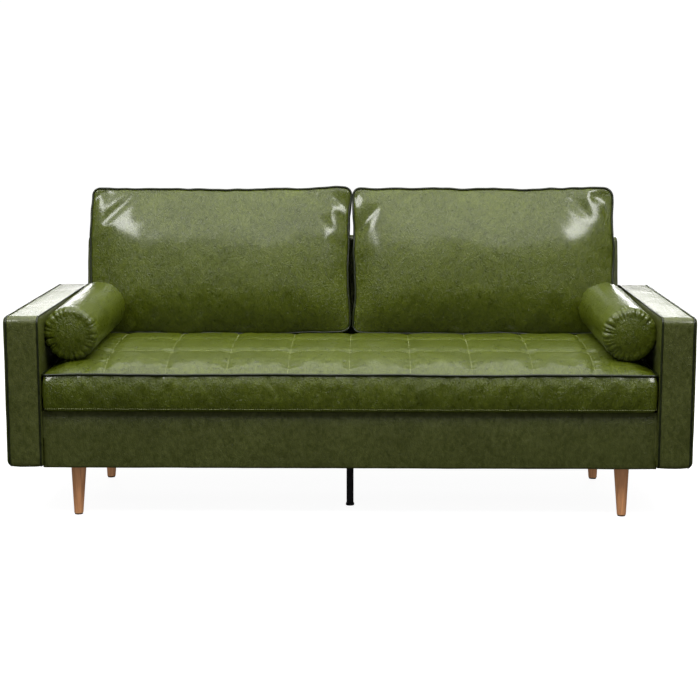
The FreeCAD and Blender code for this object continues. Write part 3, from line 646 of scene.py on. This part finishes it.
def seat_cushion(seed):
    """The bench cushion: biscuit tufting in columns, a piped edge and a rounded border."""
    across, deep = COLUMNS * CELL, TUFT_ROWS * CELL + REAR_CELLS
    lay = boxed(across, deep, BORDER_CELLS)
    uv, t = lay["uv"], lay["t"]
    # rows are as deep as the columns are wide, and the last one is shorter
    column = np.round((uv[:, 0] + 1) / 2 * across)
    step = np.round((uv[:, 1] + 1) / 2 * deep)
    place = np.where(step <= TUFT_ROWS * CELL, step / CELL * ROW_DEPTH,
                     TUFT_ROWS * ROW_DEPTH + (step - TUFT_ROWS * CELL) / REAR_CELLS
                     * (SEAT_DEPTH - TUFT_ROWS * ROW_DEPTH))
    fixed = np.stack([uv[:, 0], place / SEAT_DEPTH * 2 - 1], axis=1)
    flat, out = rounded(fixed, SEAT_WIDTH + 0.007, SEAT_DEPTH - 0.004, 0.013)
    middle_y = (seat_low.y + seat_high.y) / 2
    x, y = flat[:, 0], flat[:, 1] + middle_y
    top, under = t == 0, t == 1
    from_side = SEAT_WIDTH / 2 - np.abs(fixed[:, 0]) * SEAT_WIDTH / 2
    height = SEAT_CROWN * seat_crown(y) * shoulder(from_side, 0.11)
    # metres from the nearest stitched column and row
    off_column, outside = from_line(column, across - CELL / 2)
    off_column = np.where(outside, FAR, off_column * SEAT_WIDTH / across)
    off_row, outside = from_line(step, (TUFT_ROWS + 0.5) * CELL)
    off_row = np.where(outside, FAR, off_row * ROW_DEPTH / CELL)
    stitched = top & (np.minimum(off_column, off_row) < 1e-6)
    pinch = np.exp(-((off_column ** 2 + off_row ** 2) / 0.020 ** 2))
    groove = np.maximum(near(off_column, 0.011), near(off_row, 0.011))
    fade = shoulder(np.minimum(from_side, place), 0.05, 1.5)
    height -= (0.0014 * groove + 0.0056 * pinch) * fade
    # the border: slightly full, rolling under at the foot
    drop = WELT_Z - seat_low.z
    z = np.where(top, WELT_Z + height, WELT_Z - drop * t)
    roll = np.clip((t * drop - (drop - FOOT_ROLL)) / FOOT_ROLL, 0, 1)
    swell = (0.0022 * np.sin(math.pi * np.clip(t * 1.12, 0, 1))
             - FOOT_INSET * (1 - np.sqrt(1 - roll ** 2)))
    x = np.where(under, x * (1 - FOOT_INSET / (SEAT_WIDTH / 2)), x + out[:, 0] * swell)
    y = np.where(under, middle_y + (y - middle_y) * (1 - FOOT_INSET / (SEAT_DEPTH / 2)),
                 y + out[:, 1] * swell)
    # the front band leans forward and hangs a little below the frame's top edge
    y -= 0.0080 * near(place, 0.05) * np.where(top, 0, np.clip(t * 5, 0, 1))
    z -= np.where(top | under, 0, 0.0065 * np.clip(t * 1.5, 0, 1) * near(place, 0.02))
    points = np.stack([x, y, z], axis=1)
    near_welt = near(np.minimum(from_side, place) * top + t * drop, 0.035)
    points[:, 2] += near_welt * (ripple(points, 5, seed) * 0.0026
                                 + ripple(points, 17, seed + 1) * 0.0009)
    points[:, 1] += near_welt * ripple(points, 11, seed + 2) * 0.0016 * (place < 0.2)
    obj = add_mesh("seat_cushion_leather", points, lay["faces"])
    held = np.zeros(len(points))
    held[stitched] = 1
    held[lay["loops"][0]] = 1
    held[t > 0.86] = 1
    cap = np.where(top, 0.0036, 0.0035)
    cap = np.where(top & (pinch > 0.5), 0.003, cap)
    settle(obj, held, 0.014, cap, pressure=4.0, frames=14)
    points = points_of(obj)
    belly = top * (1 - groove) * fade
    points[:, 2] += belly * (0.0016 * ripple(points, 11, seed + 5)
                             + 0.0007 * ripple(points, 33, seed + 6))
    # puckers where the cross stitching runs into the front seam
    comb = np.stack([points[:, 0], points[:, 1] * 0.1, np.zeros(len(points))], axis=1)
    pucker = near(place, 0.020) * shoulder(place, 0.005) * top
    points[:, 2] += ripple(comb, 70, seed + 7) * pucker * 0.0020
    set_points(obj, points)
    normals = normals_of(obj)
    subdivide(obj)
    dress(obj, GREEN, "seat_cushion", "green_leather", "seat_cushion_cover",
          "seat_cushion_foam", fill=0.9)
    seam = lay["loops"][0]
    outward = np.column_stack([out[seam], np.zeros(len(seam))])
    welt = tube("seat_cushion_welt", smooth_line(points[seam] + outward * 0.0022), 0.0034, 5)
    dress(welt, CORD, "seat_cushion", "piping", "seat_cushion_piping")
    at = lay["at"]
    rows = [[at(i * CELL, j) for j in range(deep)] for i in range(1, COLUMNS)]
    rows += [[at(i, j * CELL) for i in range(across + 1)] for j in range(1, TUFT_ROWS + 1)]
    tufting = stitches("seat_cushion_tufting", [(points[row], normals[row]) for row in rows],
                       length=0.0046, pitch=0.0062, radius=0.00055)
    dress(tufting, THREAD, "seat_cushion", "green_leather")
    foot = lay["loops"][round(BORDER_CELLS * 0.84)]
    hem = stitches("seat_cushion_hem_stitch", [(points[foot], normals[foot])],
                   length=0.0048, pitch=0.0060, radius=0.0006)
    dress(hem, THREAD, "seat_cushion", "green_leather")


seat_cushion(21)

# ---------------------------------------------------------------- bolsters

BOLSTER_RADIUS = 0.0735
DISC_RADIUS = 0.055
RIM = 0.0185
BOLSTER_LENGTH = 0.430
# how far the end disc bulges, and how deep a full gather cuts in
DOME, GATHER = 0.0085, 0.0085
PLEATS = 29
AROUND, BODY_STEPS = 162, 44


def bolster(side, sign, seed):
    """A round bolster: a sewn end disc, gathers round it, and long soft wrinkles on the body."""
    rise, toe = math.radians(3.2), math.radians(2.0)
    axis = np.array([-sign * math.sin(toe) * math.cos(rise),
                     math.cos(toe) * math.cos(rise),
                     math.sin(rise)])
    front = np.array([sign * 0.763, -0.325, 0.507])
    across = np.cross(axis, (0, 0, 1))
    across /= np.linalg.norm(across)
    up = np.cross(across, axis)
    # stations of (radius, offset in front of the disc's edge): disc, rim, body, rim, disc
    slope = math.atan(2 * DOME / DISC_RADIUS)
    disc = [(r, DOME * (1 - (r / DISC_RADIUS) ** 2)) for r in np.linspace(0.005, DISC_RADIUS, 14)]
    rim = [(DISC_RADIUS + RIM * (math.sin(a) - math.sin(slope)) / (1 - math.sin(slope)),
            -RIM * (math.cos(slope) - math.cos(a)))
           for a in np.linspace(slope, math.pi / 2, 12)[1:]]
    cap = disc + rim
    body = [(BOLSTER_RADIUS, -RIM - (BOLSTER_LENGTH - 2 * RIM) * k / BODY_STEPS)
            for k in range(1, BODY_STEPS)]
    tail = [(r, -BOLSTER_LENGTH - d) for r, d in reversed(cap)]
    stations = cap + body + tail
    theta = np.arange(AROUND) * 2 * math.pi / AROUND
    ring = np.stack([np.cos(theta), np.sin(theta)], axis=1)
    # gathers of uneven spacing, depth and reach
    dice = np.random.default_rng(seed)
    places = np.cumsum(dice.uniform(0.55, 1.45, PLEATS))
    places *= 2 * math.pi / places[-1]
    depths = (dice.uniform(0.25, 1.0, PLEATS)
              * np.clip(0.75 + 0.5 * np.sin(places + dice.uniform(0, 6)), 0.3, 1))
    reaches = dice.uniform(0.016, 0.040, PLEATS)
    away = np.abs((theta[:, None] - places[None, :] + math.pi) % (2 * math.pi) - math.pi)
    crease = depths * np.exp(-away / 0.055)
    points = []
    for r, offset in stations:
        into = min(-offset, BOLSTER_LENGTH + offset)
        along_body = max(into - 0.004, 0)
        fade = near(along_body, reaches) * np.clip((r - 0.044) / 0.014, 0, 1)
        puff = 0.0020 * np.clip((r - 0.050) / 0.01, 0, 1) * math.exp(-(along_body / 0.03) ** 2)
        puff = puff - GATHER * (crease * fade).max(axis=1)
        ripples = 0.0011 * ripple(np.column_stack([ring, np.full(AROUND, offset * 3.0)]),
                                  3.6, seed + 2) * np.clip(into / 0.05, 0, 1)
        radius = r + puff + ripples
        centre = front - axis * offset
        points.extend(centre + radius[:, None] * (ring[:, :1] * across + ring[:, 1:2] * up)
                      - axis * (puff * 0.6)[:, None] * (1 if -offset < BOLSTER_LENGTH / 2 else -1))
    faces = []
    for i in range(len(stations) - 1):
        start = i * AROUND
        faces += strip(range(start, start + AROUND), range(start + AROUND, start + 2 * AROUND))
    last = (len(stations) - 1) * AROUND
    centre_front, centre_rear = len(points), len(points) + 1
    points = np.vstack([np.array(points), front - axis * DOME,
                        front + axis * (BOLSTER_LENGTH + DOME)])
    for k in range(AROUND):
        m = (k + 1) % AROUND
        faces.append((centre_front, m, k))
        faces.append((centre_rear, last + k, last + m))
    obj = add_mesh(f"bolster_{side}_leather", points, faces)
    station = np.append(np.repeat(np.arange(len(stations)), AROUND), [0, len(stations) - 1])
    from_end = np.minimum(station, len(stations) - 1 - station)
    held = (from_end <= len(disc) - 2).astype(float)
    cap_size = np.where(from_end > len(cap) + 2, 0.0030, 0.0010)
    settle(obj, held, 0.014, cap_size, pressure=3.0, frames=14)
    dress(obj, GREEN, f"bolster_{side}", "green_leather", f"bolster_cover_{side}",
          f"bolster_fill_{side}", fill=0.95)


for side, sign in SIDES.items():
    bolster(side, sign, 31 if sign < 0 else 37)

# ---------------------------------------------------------------- arms


ARC_STEPS = 7


def round_path(corners, radii, spacing):
    """Points round a closed outline of (y, z) corners with rounded corners, about spacing apart."""
    out = []
    count = len(corners)
    arcs = []
    for i in range(count):
        p, a, b = (np.array(corners[j]) for j in (i, i - 1, (i + 1) % count))
        da, db = (a - p) / np.linalg.norm(a - p), (b - p) / np.linalg.norm(b - p)
        half = math.acos(np.clip(da.dot(db), -1, 1)) / 2
        cut = radii[i] / math.tan(half)
        centre = p + (da + db) / np.linalg.norm(da + db) * radii[i] / math.sin(half)
        arcs.append((p + da * cut, p + db * cut, centre))
    for i, (start, end, centre) in enumerate(arcs):
        sa, ea = start - centre, end - centre
        turn = math.atan2(sa[0] * ea[1] - sa[1] * ea[0], sa.dot(ea))
        for k in range(ARC_STEPS):
            a = turn * k / ARC_STEPS
            out.append(centre + np.array([sa[0] * math.cos(a) - sa[1] * math.sin(a),
                                          sa[0] * math.sin(a) + sa[1] * math.cos(a)]))
        following = arcs[(i + 1) % count][0]
        many = max(int(np.linalg.norm(following - end) / spacing), 1)
        out.extend(end + (following - end) * k / many for k in range(many))
    return np.array(out)


def box_path(low, high, foot, radii, spacing):
    """The rounded (y, z) outline of a box whose lower edge is at foot."""
    return round_path([(low.y, foot), (high.y, foot), (high.y, high.z), (low.y, high.z)],
                      radii, spacing)


def outline_normals(path):
    """Outward directions of a closed (y, z) outline that runs anticlockwise."""
    step = np.roll(path, -1, axis=0) - np.roll(path, 1, axis=0)
    step /= np.linalg.norm(step, axis=1)[:, None]
    return np.stack([step[:, 1], -step[:, 0]], axis=1)


def swept_cover(name, path, x_from, x_to, cells, crown, side_crown, rings, seed, dent=0.0008):
    """A closed upholstered cover: a band along the outline between two side panels. The panels are
    rings drawn in from the outline, puffed out by side_crown, one for each side."""
    outward = outline_normals(path)
    count = len(path)
    centre = path.mean(axis=0)
    points, faces = [], []
    for f in np.linspace(0, 1, cells + 1):
        bulge = crown * (1 - abs(2 * f - 1) ** 3)
        x = x_from + (x_to - x_from) * f
        points.extend(np.column_stack([np.full(count, x), path + outward * bulge]))
    for i in range(cells):
        start = i * count
        faces += strip(range(start, start + count), range(start + count, start + 2 * count))
    for x, first, way, full in ((x_from, 0, -1, side_crown[0]),
                                (x_to, cells * count, 1, side_crown[1])):
        before = range(first, first + count)
        for depth, rise in rings:
            after = range(len(points), len(points) + count)
            loop = centre + (path - centre) * (1 - depth)
            points.extend(np.column_stack([np.full(count, x + way * full * rise), loop]))
            faces += strip(before, after)
            before = after
        faces.append(tuple(before))
    points = np.array(points, float)
    obj = add_mesh(name, points, faces)
    dents = dent * (ripple(points, 9, seed) + 0.5 * ripple(points, 28, seed + 1))
    set_points(obj, points + normals_of(obj) * dents[:, None])
    return obj


# (how far in from the outline, how full) of each ring of a side panel
PANEL_RINGS = [(0.002, 0.26), (0.006, 0.50), (0.012, 0.71), (0.022, 0.87), (0.04, 0.96),
               (0.07, 1.0), (0.14, 1.0), (0.24, 1.0), (0.36, 1.0), (0.48, 1.0), (0.60, 1.0),
               (0.72, 1.0), (0.84, 1.0), (0.95, 1.0)]


def roll_under(points, middle, low_z):
    """Draws an arm's foot in on its outer side, rounding that bottom edge."""
    drop = np.clip(1 - (points[:, 2] - low_z) / 0.018, 0, 1)
    inward = 0.010 * (1 - np.sqrt(1 - 0.98 * drop ** 2))
    points[:, 0] -= np.sign(points[:, 0] - middle) * inward * (np.abs(points[:, 0]) > abs(middle))
    return points


ARM_HANG = 0.006
ARM_TOP_CORNER = 0.018
# fullness of an arm's side panels, outside and inside
ARM_OUTER_CROWN, ARM_INNER_CROWN = 0.010, 0.003


def arm(side, sign, seed):
    """An upholstered arm, piped round the edges of both side panels."""
    low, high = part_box(f"arm_cover_{side}")
    low.z -= ARM_HANG
    path = box_path(low, high, low.z, (0.012, 0.012, ARM_TOP_CORNER, ARM_TOP_CORNER), 0.014)
    crowns = ((ARM_OUTER_CROWN, ARM_INNER_CROWN) if sign < 0
              else (ARM_INNER_CROWN, ARM_OUTER_CROWN))
    obj = swept_cover(f"arm_{side}_leather", path, low.x, high.x, 10, 0.0016, crowns,
                      PANEL_RINGS, seed)
    middle = (low.x + high.x) / 2
    set_points(obj, roll_under(points_of(obj), middle, low.z))
    dress(obj, PANEL, "frame", "green_leather", f"arm_cover_{side}", fill=0.5)
    over = box_path(low, high, low.z + 0.003, (0.010, 0.010, ARM_TOP_CORNER, ARM_TOP_CORNER), 0.02)
    for number, x in enumerate((low.x, high.x)):
        loop = np.column_stack([np.full(len(over), x), over])
        loop[:, 0] += ripple(loop, 8, seed + number) * 0.0007
        loop = roll_under(loop, middle, low.z)
        cord = tube(f"arm_{side}_piping_{number}", smooth_line(loop, 1), PIPING, seed)
        dress(cord, CORD, "frame", "piping", f"arm_piping_{side}")


for side, sign in SIDES.items():
    arm(side, sign, 41 if sign < 0 else 43)

# ---------------------------------------------------------------- fixed back, apron, outside back

back_low, back_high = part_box("back_cover")
top_front = BACK_FOOT[1] + (back_high.z - BACK_FOOT[2]) * math.tan(LEAN)
outline = round_path([(BACK_FOOT[1], BACK_FOOT[2]), (back_high.y, BACK_FOOT[2]),
                      (back_high.y, back_high.z), (top_front, back_high.z)],
                     (0.004, 0.004, 0.014, 0.014), 0.016)
END_RINGS = [(0.012, 0.55), (0.03, 0.82), (0.07, 0.96), (0.14, 1.0), (0.35, 1.0), (0.6, 1.0),
             (0.85, 1.0)]
BACK_END_CROWN = 0.004
fixed_back = swept_cover("back_leather", outline, back_low.x + BACK_END_CROWN,
                         back_high.x - BACK_END_CROWN, 96, 0.0015,
                         (BACK_END_CROWN, BACK_END_CROWN), END_RINGS, 51, 0.0012)
dress(fixed_back, PANEL, "frame", "green_leather", "back_cover", "back_padding", fill=0.5)

apron_low, apron_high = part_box("apron_cover")
APRON_HANG = 0.013
outline = box_path(apron_low, apron_high, apron_low.z - APRON_HANG,
                   (0.008, 0.003, 0.002, 0.002), 0.010)
apron = swept_cover("apron_leather", outline, apron_low.x, apron_high.x, 170, 0.0, (0.0, 0.0),
                    END_RINGS, 61, 0.0007)
points = points_of(apron)
front = points[:, 1] < apron_low.y + 0.006
rise = (points[:, 2] - apron_low.z) / (apron_high.z - apron_low.z)
puff = 0.003 * np.sin(math.pi * np.clip(rise, 0, 1)) ** 0.7
# gathers under the top edge, strongest on the right, and the edge itself drawn back
slanted = np.column_stack([points[:, 0] + points[:, 2] * 0.5, points[:, 2] * 0.25,
                           np.zeros(len(points))])
gathers = ripple(slanted, 48, 63) * near(1 - rise, 0.22) * 0.0016
gathers *= 0.35 + 1.25 * np.clip((points[:, 0] - 0.40) / 0.3, 0, 1)
recess = 0.0040 * np.clip((rise - 0.70) / 0.30, 0, 1) ** 1.6
points[:, 1] -= np.where(front, puff + gathers - recess, 0)
set_points(apron, points)
dress(apron, PANEL, "frame", "green_leather", "apron_cover", "apron_padding", fill=0.4)

out_low, out_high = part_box("outside_back_cover")
outline = box_path(out_low, out_high, out_low.z, (0.001, 0.001, 0.001, 0.001), 0.009)
outside = swept_cover("outside_back_leather", outline, out_low.x, out_high.x, 120, 0.0, (0.0, 0.0),
                      END_RINGS, 71, 0.0004)
dress(outside, PANEL, "frame", "green_leather", "outside_back_cover", fill=0.3)

# ---------------------------------------------------------------- floor and light

WHITE = (1, 1, 1, 1)


def paper(obj, name, tone, glow, rough, level):
    """A white stage surface that glows for the camera, and neither lights the sofa nor mirrors."""
    s = Shader(name)
    s.colour(tone(s))
    s.set(Roughness=rough, Specular_IOR_Level=level, Emission_Color=WHITE, Emission_Strength=glow)
    obj.data.materials.append(s.material)
    obj.visible_glossy = False
    obj.visible_diffuse = False


bpy.ops.mesh.primitive_circle_add(vertices=96, radius=40, fill_type="NGON")
floor = bpy.context.object
floor.name = "floor"
paper(floor, "floor_paper",
      lambda s: s.mix(s.noise(3.0, 3.0), (0.27, 0.27, 0.27), (0.29, 0.29, 0.29)),
      glow=0.94, rough=0.9, level=0.1)

bpy.ops.mesh.primitive_uv_sphere_add(segments=64, ring_count=32, radius=45)
backdrop = bpy.context.object
backdrop.name = "backdrop"
paper(backdrop, "backdrop_paper",
      lambda s: s.mix(s.noise(0.2, 2.0), (0.02, 0.02, 0.02), (0.03, 0.03, 0.03)),
      glow=1.02, rough=1.0, level=0.0)
backdrop.visible_shadow = False

world = bpy.data.worlds.new("studio")
scene.world = world
world.use_nodes = True
background = next(n for n in world.node_tree.nodes if n.type == "BACKGROUND")
background.inputs["Color"].default_value = WHITE
background.inputs["Strength"].default_value = 0.40
world.cycles_visibility.glossy = False


def soft_box(name, at, aim, width, height, watts):
    """A rectangular studio light."""
    data = bpy.data.lights.new(name, "AREA")
    data.shape = "RECTANGLE"
    data.size, data.size_y = width, height
    data.energy = watts
    lamp = bpy.data.objects.new(name, data)
    lamp.location = at
    lamp.rotation_euler = (Vector(aim) - Vector(at)).to_track_quat("-Z", "Y").to_euler()
    lamp.visible_camera = False
    scene.collection.objects.link(lamp)
    return lamp


soft_box("top_light", (0, -0.2, 2.7), (0, -0.1, 0.4), 4.0, 4.4, 142)
# the side boxes are only mirrored in the leather, and the sky only lights it
for name, side in (("left_light", -1), ("right_light", 1)):
    lamp = soft_box(name, (side * 2.25, -2.45, 3.1), (side * 0.3, 0, 0.5), 0.95, 0.95, 78)
    lamp.visible_diffuse = False
sky = soft_box("sky_light", (0, -0.6, 2.8), (0, -0.1, 0.4), 3.4, 3.0, 118)
sky.visible_glossy = False
for x in (-1.45, 1.45):
    soft_box("rear_light", (x, 3.0, 1.07), (x * 0.6, 0, 0.56), 1.1, 0.22, 8.5)

scene.cycles.max_bounces = 4
scene.cycles.diffuse_bounces = 3
scene.cycles.glossy_bounces = 2
scene.view_settings.view_transform = "Standard"
scene.view_settings.look = "None"
